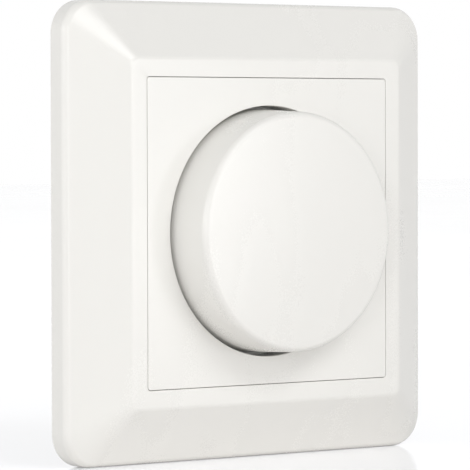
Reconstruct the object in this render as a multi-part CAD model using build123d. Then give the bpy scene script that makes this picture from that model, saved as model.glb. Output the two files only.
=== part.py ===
from build123d import *
import math
import os

# Rotary push dimmer for a flush wall box: a large knob in a square cover, with its works behind the wall
# plane. Lengths are millimetres and angles are degrees. The pieces are drawn with X to the right, Y up and
# Z out of the wall into the room, with the wall plane at Z = 0 and the knob's axis on Z. They are written
# out with Z up and the room on the -Y side.

# Clearances
FIT = 0.05            # snug pieces that don't move on each other
SLIDE = 0.1           # pieces that turn or slide on each other
SPARE = 0.3           # room left at the end of a travel
THROUGH = 1.0         # how far a cut runs past the face that it opens
OVERLAP = 0.3         # how far a rib or lug reaches into the wall that it grows from

# Cover frame
FRAME_WIDTH = 82.2
FRAME_CORNER = 6.0
FRAME_DEPTH = 10.05   # wall plane to the flat rim
FRAME_SIDE = 4.0      # height of the upright side, up to the foot of the slope
FRAME_WALL = 2.0
FOOT_ROUND = 1.8      # where the upright side turns into the slope
RIM_WIDTH = 3.3
RIM_CORNER = 1.4
RIM_ROUND = 1.6       # where the slope turns into the rim
OPENING_ROUND = 0.1
COLLAR_WALL = 1.6     # wall around the opening, behind the rim
LEDGE_THICKNESS = 1.6
LEDGE_GAP = 0.6       # between the ledge and the well that passes through it
FRAME_RIB = 1.4
FRAME_RIB_OFFSET = 17.0
FRAME_RIB_GAP = 0.2   # between the ribs and the mounting plate

# Centre plate with the well for the knob
CENTRE_WIDTH = 55.0
CENTRE_CORNER = 0.5
CENTRE_THICKNESS = 1.8
CENTRE_ROUND = 0.1
SEAM = 0.1            # gap between the plate and the rim
SKIRT_HEIGHT = 3.6    # face of the plate to the edge that stands on the ledge
SKIRT_WALL = 1.5
WELL_WALL = 1.6
WELL_FLOOR = 1.6
WELL_ROUND = 0.1
BOSS_DIAMETER = 20.0  # foot of the well on the mounting plate
CENTRE_RIB = 1.2
PEG_DIAMETER = 2.0    # pegs that keep the plate from turning
PEG_LENGTH = 1.0
PEG_SPACING = 15.2

# Knob
KNOB_DIAMETER = 43.6  # at the face of the plate
KNOB_DRAFT = 2.7      # lean of the side, narrower to the front
KNOB_GAP = 0.75       # around the knob in its well, at the face of the plate
KNOB_PROUD = 8.5      # face of the plate to the knob's front edge
KNOB_CROWN = 0.45
KNOB_ROUND = 1.1
KNOB_WALL = 1.8
KNOB_TOP = 1.9
KNOB_RIBS = 6
KNOB_RIB = 1.2
HUB_DIAMETER = 11.0
HUB_SLIT = 0.8
HUB_SLIT_LENGTH = 4.0
CLAMP_INSET = 0.8     # end of the hub to the clamp ring
CLAMP_HEIGHT = 1.0
CLAMP_WIDTH = 1.3
CLAMP_GROOVE = 0.5
CLAMP_GAP = 50.0      # opening of the ring

# Turning and pushing
TURN = 300.0
PUSH = 1.5
STOP_SPREAD = 30.0
STOP_SPARE = 2.0      # left at each end of the turn
STOP_MIDDLE = 270.0   # the stop stands below the shaft

# Shaft, bushing, washer and nut
SHAFT_DIAMETER = 6.0
SHAFT_FLAT = 1.5      # axis to the flat
SHAFT_END_GAP = 0.4   # shaft's end to the knob's ceiling
SHOULDER_DIAMETER = 8.0
SHOULDER_LENGTH = 1.0
TAIL_DIAMETER = 5.0
TAIL_FLAT = 1.6
TAIL_REACH = 0.8      # tail past the resistance wafer
NECK_DIAMETER = 9.8
NECK_PROUD = 0.5      # neck past the nut
NECK_CHAMFER = 0.5
FLANGE_WIDTH = 16.0
FLANGE_CORNER = 2.0
FLANGE_THICKNESS = 1.5
WASHER_DIAMETER = 16.0
WASHER_THICKNESS = 0.6
WASHER_TEETH = 12
WASHER_NOTCH_WIDTH = 1.2
WASHER_NOTCH_DEPTH = 1.6
NUT_WIDTH = 14.0      # across the flats
NUT_HEIGHT = 2.5
NUT_CHAMFER = 0.6

# Potentiometer with its push switch
CASE_WIDTH = 17.0
CASE_CORNER = 1.8
CASE_FLOOR = 1.0
CASE_BORE = 14.8
ROTOR_DIAMETER = 11.0
ROTOR_THICKNESS = 2.2
ROTOR_COLLAR = 9.8
LUG_REACH = 7.1       # axis to the tip of the stop lug
STOP_REACH = 5.8      # axis to the stop in the case
WIPER_DIAMETER = 10.2
WIPER_BORE = 7.0
WIPER_THICKNESS = 0.25
WIPER_LIFT = 0.15
WIPER_GAP = 40.0
WAFER_DIAMETER = 14.6
WAFER_THICKNESS = 0.8
WAFER_BORE = 6.0
CHAMBER_BORE = 10.4
PLUNGER_DIAMETER = 9.6
PLUNGER_LENGTH = 2.4
PLUNGER_FACE = 1.0
PLUNGER_BORE = 7.6
BRIDGE_THICKNESS = 0.3
CONTACT_SPARE = 0.02  # bridge to pins at full push
PIN_WIDTH = 1.0
SPRING_DIAMETER = 7.0
SPRING_WIRE = 0.6
SPRING_TURNS = 2.25

# Mounting plate
PLATE_WIDTH = 69.0
PLATE_CORNER = 5.0
PLATE_THICKNESS = 1.2
BOX_SPACING = 60.0    # screws of the wall box
SLOT_WIDTH = 3.6
SLOT_LENGTH = 7.0

# Rear housing and its screws
HOUSING_WIDTH = 46.0
HOUSING_CORNER = 10.0
HOUSING_WALL = 1.5
HOUSING_ROUND = 1.2   # rear edge
COLUMN_INSET = 6.5    # side of the housing to the middle of a corner column
COLUMN_DIAMETER = 7.2
COLUMN_SHELF = 0.4    # step on which the circuit board rests
SCREW_DIAMETER = 3.0
SCREW_LENGTH = 8.0
SCREW_HEAD = 5.0
SCREW_HEAD_HEIGHT = 1.5
SCREW_SLOT = 0.8
SCREW_SLOT_DEPTH = 0.7
SCREW_HOLE_GAP = 0.2
VENTS = 5
VENT_WIDTH = 1.8
VENT_LENGTH = 9.0
VENT_PITCH = 4.0
VENT_INSET = 4.0      # wall plane to the vents

# Circuit board and the components on it
BOARD_THICKNESS = 1.6
BOARD_GAP = 0.3
LEG = 0.7
LEG_TAIL = 1.0        # legs past the board
LEG_HOLE_GAP = 0.1
PAD_THICKNESS = 0.3
TRIAC_WIDTH = 10.2
TRIAC_LENGTH = 15.6
TRIAC_BODY_LENGTH = 9.0
TRIAC_BODY_THICKNESS = 4.4
TRIAC_TAB = 1.3
TRIAC_HOLE = 3.6
TRIAC_HOLE_INSET = 2.8
TRIAC_LEG_PITCH = 2.54
TRIAC_LEG_LEVEL = 2.6
TRIAC_LEG_REACH = 2.9
TRIAC_RISE = 0.3      # potentiometer case to the triac
TRIAC_SHIFT = -1.2
CHOKE_OUTER = 13.0
CHOKE_INNER = 7.0
CHOKE_HEIGHT = 4.4
CHOKE_TURNS = 14
CHOKE_WIRE = 0.9
CHOKE_GAP = 3.5       # winding to the upper wall of the housing
FILM_SIZE = (6.0, 10.0, 6.8)
FILM_GAP = 0.6        # capacitor to the side wall of the housing
FILM_RISE = 4.8       # above the shaft
FILM_LEG_PITCH = 7.5
TIMING_SIZE = (7.0, 2.6, 6.5)
TIMING_GAP = 0.4      # terminal block to the capacitor's legs
TIMING_LEG_PITCH = 5.0
COMPONENT_ROUND = 0.4
AXIAL_STANDOFF = 0.3
FUSE_DIAMETER = 4.0
FUSE_LENGTH = 10.0
FUSE_CAP_DIAMETER = 4.6
FUSE_CAP_LENGTH = 2.2
FUSE_REACH = 1.4
RESISTOR_DIAMETER = 2.4
RESISTOR_LENGTH = 6.0
RESISTOR_REACH = 1.6
RESISTOR_PITCH = 3.0
RESISTORS = 3
RESISTOR_DROP = 5.2   # below the shaft

# Terminals for the wires of the house
POLES = 3
POLE_PITCH = 5.08
TERMINAL_END = 0.5    # moulding past the outer poles
TERMINAL_DEPTH = 9.2
TERMINAL_HEIGHT = 8.6
TERMINAL_INSET = 0.4  # outside of the housing to the terminal block
TERMINAL_GAP = 0.3
ENTRY_WIDTH = 3.2
CAGE_WIDTH = 3.9
CAGE_DEPTH = 5.0
CAGE_HEIGHT = 5.0
CAGE_SEAT = 1.0       # board to the cage
CAGE_INSET = 1.2      # wire side of the block to the cage
CAGE_WALL = 0.6
CAGE_THREAD = 1.2     # wall that holds the screw
CLAMP_SCREW = 2.5
CLAMP_SCREW_HEAD = 3.5
CLAMP_SCREW_HEAD_HEIGHT = 1.6
CLAMP_SCREW_LENGTH = 2.9
CLAMP_SCREW_GAP = 0.3  # cage to the screw's head

# Levels in front of the wall plane
RIM_OUTER = CENTRE_WIDTH + 2 * SEAM + 2 * RIM_WIDTH
OPENING = CENTRE_WIDTH + 2 * SEAM
OPENING_CORNER = CENTRE_CORNER + SEAM
WELL_DIAMETER = KNOB_DIAMETER + 2 * KNOB_GAP
WELL_OUTER = WELL_DIAMETER + 2 * WELL_WALL
LEDGE_OPENING = WELL_OUTER + 2 * LEDGE_GAP
LEDGE_HIGH = FRAME_DEPTH - SKIRT_HEIGHT
LEDGE_LOW = LEDGE_HIGH - LEDGE_THICKNESS
FLOOR_LOW = PLATE_THICKNESS + SCREW_HEAD_HEIGHT + SPARE
FLOOR_HIGH = FLOOR_LOW + WELL_FLOOR
WASHER_HIGH = FLOOR_HIGH + WASHER_THICKNESS
NUT_HIGH = WASHER_HIGH + NUT_HEIGHT
NECK_HIGH = NUT_HIGH + NECK_PROUD
KNOB_LOW = FLOOR_HIGH + PUSH + SPARE
HUB_LOW = NECK_HIGH + PUSH + SPARE
KNOB_EDGE = FRAME_DEPTH + KNOB_PROUD
KNOB_CEILING = KNOB_EDGE - KNOB_TOP
SHAFT_HIGH = KNOB_CEILING - SHAFT_END_GAP
CLAMP_LOW = HUB_LOW + CLAMP_INSET
CLAMP_HIGH = CLAMP_LOW + CLAMP_HEIGHT

# Levels behind the wall plane
FLANGE_LOW = -FLANGE_THICKNESS
SHOULDER_LOW = FLANGE_LOW - SHOULDER_LENGTH
ROTOR_HIGH = SHOULDER_LOW - PUSH - SPARE
ROTOR_LOW = ROTOR_HIGH - ROTOR_THICKNESS
WIPER_LOW = ROTOR_LOW - WIPER_THICKNESS
WAFER_HIGH = WIPER_LOW - WIPER_LIFT
WAFER_LOW = WAFER_HIGH - WAFER_THICKNESS
TAIL_LOW = WAFER_LOW - TAIL_REACH
PLUNGER_LOW = TAIL_LOW - PLUNGER_LENGTH
BRIDGE_LOW = PLUNGER_LOW - BRIDGE_THICKNESS
CHAMBER_LOW = BRIDGE_LOW - PUSH - CONTACT_SPARE
BOARD_FRONT = CHAMBER_LOW - CASE_FLOOR
BOARD_REAR = BOARD_FRONT - BOARD_THICKNESS
LEG_END = BOARD_REAR - LEG_TAIL
TERMINAL_LOW = BOARD_REAR - TERMINAL_HEIGHT
HOUSING_LOW = TERMINAL_LOW - TERMINAL_INSET
HOUSING_FLOOR = HOUSING_LOW + HOUSING_WALL
TAB_LOW = -PAD_THICKNESS - TRIAC_TAB
CAGE_HIGH = BOARD_REAR - CAGE_SEAT
CAGE_LOW = CAGE_HIGH - CAGE_HEIGHT

# Places across the wall plane
LUG_SPREAD = 360.0 - TURN - STOP_SPREAD - 2 * STOP_SPARE
LUG_MIDDLE = STOP_MIDDLE - STOP_SPREAD / 2 - STOP_SPARE - LUG_SPREAD / 2
PIN_RADIUS = (PLUNGER_DIAMETER + PLUNGER_BORE) / 4
HOUSING_INNER = HOUSING_WIDTH - 2 * HOUSING_WALL
HOUSING_INNER_CORNER = HOUSING_CORNER - HOUSING_WALL
COLUMN_PLACE = HOUSING_WIDTH / 2 - COLUMN_INSET
COLUMN_PLACES = [(x * COLUMN_PLACE, y * COLUMN_PLACE) for x in (-1, 1) for y in (-1, 1)]
TRIAC_Y = CASE_WIDTH / 2 + TRIAC_RISE + TRIAC_WIDTH / 2
TRIAC_LEFT = TRIAC_SHIFT - TRIAC_LENGTH / 2
TRIAC_RIGHT = TRIAC_SHIFT + TRIAC_LENGTH / 2
TRIAC_LEG_X = TRIAC_RIGHT + TRIAC_LEG_REACH - LEG / 2
TRIAC_LEG_YS = [TRIAC_Y + step * TRIAC_LEG_PITCH for step in (-1, 0, 1)]
TRIAC_HOLE_X = TRIAC_LEFT + TRIAC_HOLE_INSET
TERMINAL_WIDTH = POLES * POLE_PITCH + 2 * TERMINAL_END
TERMINAL_BOTTOM = -HOUSING_WIDTH / 2 + TERMINAL_INSET
TERMINAL_Y = TERMINAL_BOTTOM + TERMINAL_DEPTH / 2
POLE_XS = [(n - (POLES - 1) / 2) * POLE_PITCH for n in range(POLES)]
CAGE_Y = TERMINAL_BOTTOM + CAGE_INSET + CAGE_DEPTH / 2
SIDE_ROOM = (CASE_WIDTH + HOUSING_INNER) / 4  # middle of the room beside the potentiometer
FUSE_PLACE = (-SIDE_ROOM, 0.0)
RESISTOR_PLACE = (SIDE_ROOM, -RESISTOR_DROP)
RESISTOR_XS = [SIDE_ROOM + (n - (RESISTORS - 1) / 2) * RESISTOR_PITCH for n in range(RESISTORS)]
CHOKE_PLACE = (0.0, HOUSING_INNER / 2 - CHOKE_GAP - CHOKE_WIRE - FIT - CHOKE_OUTER / 2)
FILM_PLACE = (HOUSING_INNER / 2 - FILM_GAP - FILM_SIZE[0] / 2, FILM_RISE)
TIMING_PLACE = (0.0, TERMINAL_BOTTOM + TERMINAL_DEPTH + TIMING_GAP + LEG / 2)

STANDING = (Align.CENTER, Align.CENTER, Align.MIN)
NEAR = 1e-3           # for finding edges by their level


def cylinder(radius, low, high, x=0.0, y=0.0):
    """Upright cylinder between two levels."""
    return Pos(x, y, low) * Cylinder(radius, high - low, align=STANDING)


def box(width, height, low, high, x=0.0, y=0.0):
    """Upright box between two levels, centred on x and y."""
    return Pos(x, y, low) * Box(width, height, high - low, align=STANDING)


def outline(width, corner, level):
    """Square with rounded corners at a level."""
    return Pos(0, 0, level) * RectangleRounded(width, width, corner)


def prism(width, corner, low, high):
    """Square prism with rounded corners between two levels."""
    return extrude(outline(width, corner, low), high - low)


def frustum(low, high):
    """Form between two rounded squares at different levels, with flat sides and conical corners."""
    faces = loft([low, high], ruled=True).faces()
    return Solid(Shell([Face(face.outer_wire()) if face.is_planar else face for face in faces]))


def sector(inner, outer, middle, spread, low, high):
    """Ring segment about the axis, by the direction of its middle and its spread."""
    start = middle - spread / 2
    near = CenterArc((0, 0), inner, start, spread)
    far = CenterArc((0, 0), outer, start, spread)
    ends = [Line(near @ 0, far @ 0), Line(near @ 1, far @ 1)]
    return extrude(Pos(0, 0, low) * make_face(near + far + ends), high - low)


def d_rod(radius, flat, low, high):
    """Round rod with one flat on its upper side."""
    side = (Align.CENTER, Align.MIN, Align.MIN)
    return cylinder(radius, low, high) - Pos(0, flat, low) * Box(2 * radius, radius, high - low, align=side)


def edges_at(solid, level):
    """Edges that lie at a level."""
    return solid.edges().filter_by_position(Axis.Z, level - NEAR, level + NEAR)


def around(count):
    """Turns about the axis that spread a pattern evenly."""
    return [Rot(0, 0, 360.0 * n / count) for n in range(count)]


def frame_envelope():
    """Outside of the frame as a filled form: upright side, straight slope and flat rim."""
    foot = outline(FRAME_WIDTH, FRAME_CORNER, FRAME_SIDE)
    rim = outline(RIM_OUTER, RIM_CORNER, FRAME_DEPTH)
    form = prism(FRAME_WIDTH, FRAME_CORNER, 0, FRAME_SIDE) + frustum(foot, rim)
    form = fillet(edges_at(form, FRAME_SIDE), FOOT_ROUND)
    return fillet(edges_at(form, FRAME_DEPTH), RIM_ROUND)


def frame_cavity():
    """Hollow of the frame, one wall inside the upright side, the slope and the rim."""
    slope = math.atan2(FRAME_DEPTH - FRAME_SIDE, (FRAME_WIDTH - RIM_OUTER) / 2)
    width = FRAME_WIDTH - 2 * FRAME_WALL
    corner = FRAME_CORNER - FRAME_WALL
    foot_level = FRAME_SIDE - FRAME_WALL * math.tan((math.pi / 2 - slope) / 2)
    roof_width = RIM_OUTER - 2 * FRAME_WALL * math.tan(slope / 2)
    foot = outline(width, corner, foot_level)
    roof = outline(roof_width, RIM_CORNER, FRAME_DEPTH - FRAME_WALL)
    return prism(width, corner, 0, foot_level) + frustum(foot, roof)


def cover_frame():
    """Hollow frame with a collar and a ledge around its opening, and ribs behind the slope."""
    cavity = frame_cavity()
    collar_width = OPENING + 2 * COLLAR_WALL
    roof = FRAME_DEPTH - FRAME_WALL
    frame = frame_envelope() - cavity
    frame += prism(collar_width, OPENING_CORNER + COLLAR_WALL, LEDGE_LOW, roof)
    rib_length = (FRAME_WIDTH - collar_width) / 2 + OVERLAP
    rib_x = FRAME_WIDTH / 2 - rib_length / 2
    for turn in around(4):
        for side in (-1, 1):
            low = PLATE_THICKNESS + FRAME_RIB_GAP
            rib = box(rib_length, FRAME_RIB, low, roof, rib_x, side * FRAME_RIB_OFFSET)
            frame += turn * rib & cavity
    frame -= prism(OPENING, OPENING_CORNER, LEDGE_HIGH, FRAME_DEPTH + THROUGH)
    frame -= prism(LEDGE_OPENING, OPENING_CORNER, LEDGE_LOW - THROUGH, LEDGE_HIGH + THROUGH)
    half = (OPENING + RIM_WIDTH) / 2
    rim_edges = edges_at(frame, FRAME_DEPTH)
    opening_edges = rim_edges.filter_by(lambda edge: max(abs(edge.center().X), abs(edge.center().Y)) < half)
    return fillet(opening_edges, OPENING_ROUND)


def centre_plate():
    """Square plate with a skirt that stands on the ledge, and the round well with its foot and pegs."""
    back = FRAME_DEPTH - CENTRE_THICKNESS
    plate = prism(CENTRE_WIDTH, CENTRE_CORNER, LEDGE_HIGH, FRAME_DEPTH)
    plate = fillet(edges_at(plate, FRAME_DEPTH), CENTRE_ROUND)
    plate -= prism(CENTRE_WIDTH - 2 * SKIRT_WALL, CENTRE_CORNER, LEDGE_HIGH, back)
    reach = math.sqrt(2) * (CENTRE_WIDTH - SKIRT_WALL) / 2
    rib_length = reach - WELL_OUTER / 2 + OVERLAP
    for turn in around(4):
        rib = box(rib_length, CENTRE_RIB, LEDGE_HIGH, back, reach - rib_length / 2)
        plate += turn * Rot(0, 0, 45) * rib
    plate += cylinder(WELL_OUTER / 2, FLOOR_LOW, back)
    plate += cylinder(BOSS_DIAMETER / 2, PLATE_THICKNESS, FLOOR_LOW)
    for side in (-1, 1):
        low = PLATE_THICKNESS - PEG_LENGTH
        plate += cylinder(PEG_DIAMETER / 2, low, PLATE_THICKNESS, side * PEG_SPACING / 2)
    plate -= cylinder(WELL_DIAMETER / 2, FLOOR_HIGH, FRAME_DEPTH + THROUGH)
    plate -= cylinder(NECK_DIAMETER / 2 + SLIDE, -THROUGH, FLOOR_HIGH + THROUGH)
    lip = edges_at(plate, FRAME_DEPTH).filter_by(GeomType.CIRCLE)
    return fillet(lip.filter_by(lambda edge: abs(edge.radius - WELL_DIAMETER / 2) < NEAR), WELL_ROUND)


def knob():
    """Hollow knob with a slightly domed front, a split hub for the shaft and ribs between hub and wall."""
    slant = math.tan(math.radians(KNOB_DRAFT))
    foot = KNOB_DIAMETER / 2 + slant * (FRAME_DEPTH - KNOB_LOW)
    edge = KNOB_DIAMETER / 2 - slant * KNOB_PROUD
    inner_foot = foot - KNOB_WALL
    inner_end = inner_foot - slant * (KNOB_CEILING - KNOB_LOW)
    dome_radius = (edge**2 + KNOB_CROWN**2) / (2 * KNOB_CROWN)
    front = (0, KNOB_EDGE + KNOB_CROWN)
    dome = JernArc(front, (1, 0), dome_radius, -math.degrees(math.asin(edge / dome_radius)))
    hollow = [(inner_foot, KNOB_LOW), (inner_end, KNOB_CEILING), (0, KNOB_CEILING)]
    profile = make_face(dome + Polyline(dome @ 1, (foot, KNOB_LOW), *hollow, front))
    profile = fillet(profile.vertices().sort_by_distance(dome @ 1)[0], KNOB_ROUND)
    body = revolve(Plane.XZ * profile, axis=Axis.Z)
    body += cylinder(HUB_DIAMETER / 2, HUB_LOW, KNOB_CEILING)
    rib_low = CLAMP_HIGH + SPARE
    rib_reach = inner_foot - slant * (rib_low - KNOB_LOW)
    rib_length = rib_reach - HUB_DIAMETER / 2 + 2 * OVERLAP
    for turn in around(KNOB_RIBS):
        rib_x = (rib_reach + HUB_DIAMETER / 2) / 2
        body += turn * box(rib_length, KNOB_RIB, rib_low, KNOB_CEILING, rib_x)
    body -= d_rod(SHAFT_DIAMETER / 2 + FIT, SHAFT_FLAT + FIT, HUB_LOW - THROUGH, SHAFT_HIGH + FIT)
    body -= box(HUB_SLIT, HUB_DIAMETER + THROUGH, HUB_LOW - THROUGH, HUB_LOW + HUB_SLIT_LENGTH)
    groove = cylinder(HUB_DIAMETER / 2 + THROUGH, CLAMP_LOW - FIT, CLAMP_HIGH + FIT)
    return body - (groove - cylinder(HUB_DIAMETER / 2 - CLAMP_GROOVE, CLAMP_LOW - FIT, CLAMP_HIGH + FIT))


def knob_clamp_ring():
    """Open spring ring in the groove of the hub."""
    inner = HUB_DIAMETER / 2 - CLAMP_GROOVE + FIT
    return sector(inner, inner + CLAMP_WIDTH, 0, 360 - CLAMP_GAP, CLAMP_LOW, CLAMP_HIGH)


def lock_washer():
    """Flat washer with notches around its edge."""
    washer = cylinder(WASHER_DIAMETER / 2, FLOOR_HIGH, WASHER_HIGH)
    washer -= cylinder(NECK_DIAMETER / 2 + SLIDE, FLOOR_HIGH, WASHER_HIGH)
    notch = box(2 * WASHER_NOTCH_DEPTH, WASHER_NOTCH_WIDTH, FLOOR_HIGH, WASHER_HIGH, WASHER_DIAMETER / 2)
    for turn in around(WASHER_TEETH):
        washer -= turn * notch
    return washer


def bushing_nut():
    """Thin hexagon nut with its corners chamfered in front."""
    hexagon = RegularPolygon(NUT_WIDTH / 2, 6, major_radius=False)
    blank = extrude(Pos(0, 0, WASHER_HIGH) * hexagon, NUT_HEIGHT)
    turned = cylinder(NUT_WIDTH / math.sqrt(3), WASHER_HIGH, NUT_HIGH)
    turned = chamfer(edges_at(turned, NUT_HIGH), NUT_CHAMFER)
    return (blank & turned) - cylinder(NECK_DIAMETER / 2 + FIT, WASHER_HIGH, NUT_HIGH)


def threaded_bushing():
    """Bearing of the shaft: a neck through the mounting plate and a square flange behind it."""
    neck = cylinder(NECK_DIAMETER / 2, FLANGE_LOW, NECK_HIGH)
    neck = chamfer(edges_at(neck, NECK_HIGH), NECK_CHAMFER)
    bushing = neck + prism(FLANGE_WIDTH, FLANGE_CORNER, FLANGE_LOW, 0)
    return bushing - cylinder(SHAFT_DIAMETER / 2 + FIT, FLANGE_LOW, NECK_HIGH)


def control_shaft():
    """Shaft with a flat for the knob, a shoulder behind the bushing and a flattened tail in the rotor."""
    shaft = cylinder(SHAFT_DIAMETER / 2, FLANGE_LOW, HUB_LOW)
    shaft += d_rod(SHAFT_DIAMETER / 2, SHAFT_FLAT, HUB_LOW, SHAFT_HIGH)
    shaft += cylinder(SHOULDER_DIAMETER / 2, SHOULDER_LOW, FLANGE_LOW)
    return shaft + d_rod(TAIL_DIAMETER / 2, TAIL_FLAT, TAIL_LOW, SHOULDER_LOW)


def wiper_rotor():
    """Rotor with a collar round the shaft's shoulder, a flat-sided bore and the lug that meets the stop."""
    rotor = cylinder(ROTOR_DIAMETER / 2, ROTOR_LOW, ROTOR_HIGH)
    rotor += cylinder(ROTOR_COLLAR / 2, ROTOR_HIGH, FLANGE_LOW - SLIDE)
    lug_root = ROTOR_DIAMETER / 2 - OVERLAP
    rotor += sector(lug_root, LUG_REACH, LUG_MIDDLE, LUG_SPREAD, ROTOR_LOW, ROTOR_HIGH)
    rotor -= cylinder(SHOULDER_DIAMETER / 2 + SLIDE, ROTOR_HIGH, FLANGE_LOW)
    return rotor - d_rod(TAIL_DIAMETER / 2 + SLIDE, TAIL_FLAT + SLIDE, ROTOR_LOW, ROTOR_HIGH)


def wiper_spring():
    """Flat open ring on the rotor's rear face."""
    return sector(WIPER_BORE / 2, WIPER_DIAMETER / 2, LUG_MIDDLE, 360 - WIPER_GAP, WIPER_LOW, ROTOR_LOW)


def resistor_wafer():
    """Disc with the resistance track, notched for the stop that keeps it from turning."""
    wafer = cylinder(WAFER_DIAMETER / 2, WAFER_LOW, WAFER_HIGH)
    wafer -= cylinder(WAFER_BORE / 2, WAFER_LOW, WAFER_HIGH)
    spread = STOP_SPREAD + STOP_SPARE
    rim = WAFER_DIAMETER / 2 + THROUGH
    return wafer - sector(STOP_REACH - FIT, rim, STOP_MIDDLE, spread, WAFER_LOW, WAFER_HIGH)


def potentiometer_case():
    """Case with the rotor's room and its stop in front, and the chamber of the push switch behind."""
    case = prism(CASE_WIDTH, CASE_CORNER, BOARD_FRONT, FLANGE_LOW)
    case -= cylinder(CASE_BORE / 2, WAFER_LOW, FLANGE_LOW)
    case += sector(STOP_REACH, CASE_BORE / 2 + OVERLAP, STOP_MIDDLE, STOP_SPREAD, WAFER_LOW, FLANGE_LOW)
    case -= cylinder(CHAMBER_BORE / 2, CHAMBER_LOW, WAFER_LOW)
    for side in (-1, 1):
        case -= box(PIN_WIDTH, PIN_WIDTH, BOARD_FRONT, CHAMBER_LOW, side * PIN_RADIUS)
    return case


def switch_plunger():
    """Cup that the shaft's tail pushes and the return spring lifts."""
    plunger = cylinder(PLUNGER_DIAMETER / 2, PLUNGER_LOW, TAIL_LOW)
    return plunger - cylinder(PLUNGER_BORE / 2, PLUNGER_LOW, TAIL_LOW - PLUNGER_FACE)


def contact_bridge():
    """Ring on the plunger's edge that joins the two pins when the knob is pushed."""
    ring = cylinder(PLUNGER_DIAMETER / 2, BRIDGE_LOW, PLUNGER_LOW)
    return ring - cylinder(PLUNGER_BORE / 2, BRIDGE_LOW, PLUNGER_LOW)


def contact_pins():
    """Two pins from the floor of the switch chamber through the circuit board."""
    return Part() + [box(PIN_WIDTH, PIN_WIDTH, LEG_END, CHAMBER_LOW, side * PIN_RADIUS) for side in (-1, 1)]


def return_spring():
    """Square-wire spring between the plunger and the floor of the switch chamber."""
    length = TAIL_LOW - PLUNGER_FACE - CHAMBER_LOW
    rise = length - SPRING_WIRE
    coil = Helix(rise / SPRING_TURNS, rise, (SPRING_DIAMETER - SPRING_WIRE) / 2)
    coil = Pos(0, 0, CHAMBER_LOW + SPRING_WIRE / 2) * coil
    section = Plane(origin=coil @ 0, z_dir=coil % 0) * Rectangle(SPRING_WIRE, SPRING_WIRE)
    return sweep(section, path=coil, is_frenet=True)


def mounting_plate():
    """Steel plate with a slot on each side for the screws of the wall box."""
    plate = prism(PLATE_WIDTH, PLATE_CORNER, 0, PLATE_THICKNESS)
    holes = [cylinder(NECK_DIAMETER / 2 + SLIDE, 0, PLATE_THICKNESS)]
    for side in (-1, 1):
        holes.append(cylinder(PEG_DIAMETER / 2 + SLIDE, 0, PLATE_THICKNESS, side * PEG_SPACING / 2))
    for x, y in COLUMN_PLACES:
        holes.append(cylinder(SCREW_DIAMETER / 2 + SCREW_HOLE_GAP, 0, PLATE_THICKNESS, x, y))
    holes += [cylinder(SCREW_DIAMETER / 2 + FIT, 0, PLATE_THICKNESS, TRIAC_HOLE_X, TRIAC_Y)]
    slot = Pos(BOX_SPACING / 2, 0, 0) * extrude(SlotOverall(SLOT_LENGTH, SLOT_WIDTH), PLATE_THICKNESS)
    holes += [turn * slot for turn in around(4)]
    return plate - holes


def rear_housing():
    """Open box with a column in each rounded corner, vents above and an opening for the terminals."""
    outside = prism(HOUSING_WIDTH, HOUSING_CORNER, HOUSING_LOW, 0)
    outside = fillet(edges_at(outside, HOUSING_LOW), HOUSING_ROUND)
    housing = outside - prism(HOUSING_INNER, HOUSING_INNER_CORNER, HOUSING_FLOOR, 0)
    for x, y in COLUMN_PLACES:
        column = cylinder(COLUMN_DIAMETER / 2, HOUSING_FLOOR - OVERLAP, 0, x, y)
        column += cylinder(COLUMN_DIAMETER / 2 + COLUMN_SHELF, HOUSING_FLOOR - OVERLAP, BOARD_REAR, x, y)
        housing += column & outside
    for x, y in COLUMN_PLACES:
        housing -= cylinder(SCREW_DIAMETER / 2 + FIT, PLATE_THICKNESS - SCREW_LENGTH - SPARE, 0, x, y)
    mouth_width = TERMINAL_WIDTH + 2 * TERMINAL_GAP
    mouth_height = TERMINAL_INSET + TERMINAL_DEPTH + TERMINAL_GAP
    mouth_y = -HOUSING_WIDTH / 2 + mouth_height / 2
    housing -= box(mouth_width, mouth_height, HOUSING_LOW, BOARD_REAR, y=mouth_y)
    vent_high = -VENT_INSET
    for n in range(VENTS):
        x = (n - (VENTS - 1) / 2) * VENT_PITCH
        y = (HOUSING_WIDTH - HOUSING_WALL) / 2
        housing -= box(VENT_WIDTH, HOUSING_WALL + 2 * OVERLAP, vent_high - VENT_LENGTH, vent_high, x, y)
    return housing


def slotted_screw(length):
    """Screw with a slotted flat head in front of level zero and its thread behind it."""
    screw = cylinder(SCREW_HEAD / 2, 0, SCREW_HEAD_HEIGHT) + cylinder(SCREW_DIAMETER / 2, -length, 0)
    return screw - box(SCREW_HEAD, SCREW_SLOT, SCREW_HEAD_HEIGHT - SCREW_SLOT_DEPTH, SCREW_HEAD_HEIGHT)


def housing_screws():
    """Four screws through the mounting plate into the columns of the housing."""
    screw = slotted_screw(SCREW_LENGTH)
    return Part() + [Pos(x, y, PLATE_THICKNESS) * screw for x, y in COLUMN_PLACES]


def board_legs():
    """Places and widths of the legs and pins that pass through the circuit board."""
    legs = [(side * PIN_RADIUS, 0.0, PIN_WIDTH) for side in (-1, 1)]
    legs += [(TRIAC_LEG_X, y, LEG) for y in TRIAC_LEG_YS]
    legs += [(FILM_PLACE[0], y, LEG) for y in leg_pair(FILM_PLACE[1], FILM_LEG_PITCH)]
    legs += [(x, TIMING_PLACE[1], LEG) for x in leg_pair(TIMING_PLACE[0], TIMING_LEG_PITCH)]
    legs += [(FUSE_PLACE[0], y, LEG) for y in axial_legs(FUSE_PLACE[1], FUSE_LENGTH, FUSE_REACH)]
    resistor_ys = axial_legs(RESISTOR_PLACE[1], RESISTOR_LENGTH, RESISTOR_REACH)
    legs += [(x, y, LEG) for x in RESISTOR_XS for y in resistor_ys]
    legs += [(x, CAGE_Y, PIN_WIDTH) for x in POLE_XS]
    return legs


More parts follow.
